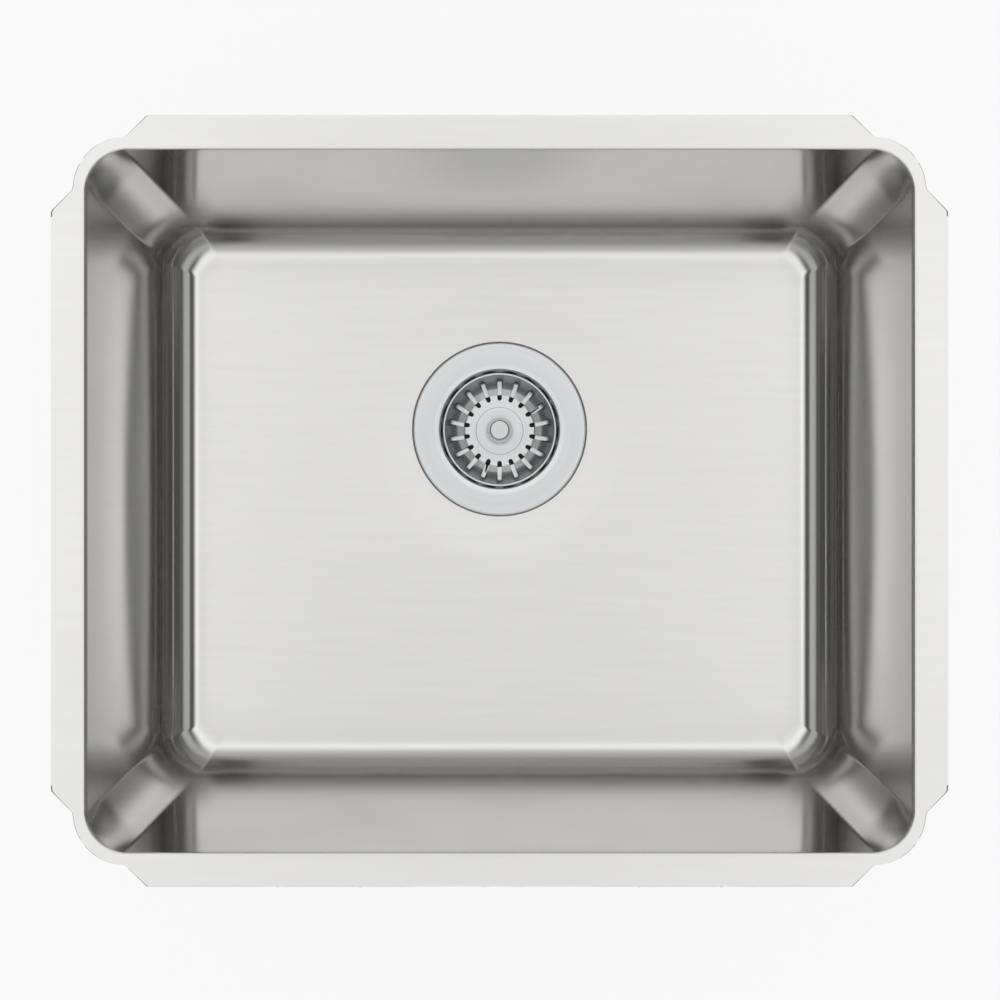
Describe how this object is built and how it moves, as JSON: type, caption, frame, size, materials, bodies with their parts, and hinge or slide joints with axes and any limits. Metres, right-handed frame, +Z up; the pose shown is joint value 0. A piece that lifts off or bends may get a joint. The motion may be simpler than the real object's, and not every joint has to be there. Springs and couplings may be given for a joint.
{
  "type": "undermount kitchen sink",
  "caption": "Rectangular single-bowl undermount kitchen sink with drafted walls, rounded corners, flat glue flange, sound pads and a lift-out basket strainer waste.",
  "frame": {"origin": "centre of the bowl's opening in the plane of the flange's top face", "axes": "+Z up out of the bowl, +X along the bowl's long side, +Y towards the back, where the drain lies"},
  "size_m": [0.509, 0.438, 0.2907],
  "materials": {
    "brushed_bowl": "fine brushed stainless steel",
    "polished_strainer": "polished stainless steel with turning marks",
    "knob_chrome": "polished",
    "screw_steel": "turned stainless steel",
    "spring_steel": "spring steel strip",
    "insert_brass": "turned brass",
    "gasket_rubber": "moulded black rubber",
    "sound_pad": "dark grey bitumen rubber sheet",
    "waste_plastic": "moulded polypropylene"
  },
  "bodies": {
    "sink": {"bowl": "brushed_bowl", "base_sound_pad": "sound_pad", "right_sound_pad": "sound_pad", "back_sound_pad": "sound_pad", "left_sound_pad": "sound_pad", "front_sound_pad": "sound_pad", "flange_gasket": "gasket_rubber", "underside_gasket": "gasket_rubber", "strainer_cup": "polished_strainer", "waste_body": "waste_plastic", "threaded_insert": "insert_brass", "clamp_screw": "screw_steel", "clamp_washer": "screw_steel"},
    "stem_clip": {"spring_clip": "spring_steel"},
    "basket": {"strainer_basket": "polished_strainer", "basket_knob": "knob_chrome", "basket_stem": "screw_steel", "basket_seal": "gasket_rubber", "seal_washer": "screw_steel", "stem_nut": "screw_steel"}
  },
  "joints": [
    {"name": "basket_lift", "type": "slide", "parent": "sink", "child": "stem_clip", "axis": [0, 0, 1], "range_m": [0, 0.28]},
    {"name": "basket_spin", "type": "hinge", "parent": "stem_clip", "child": "basket", "pos_m": [0, 0.048, -0.2363], "axis": [0, 0, 1], "continuous": true}
  ]
}
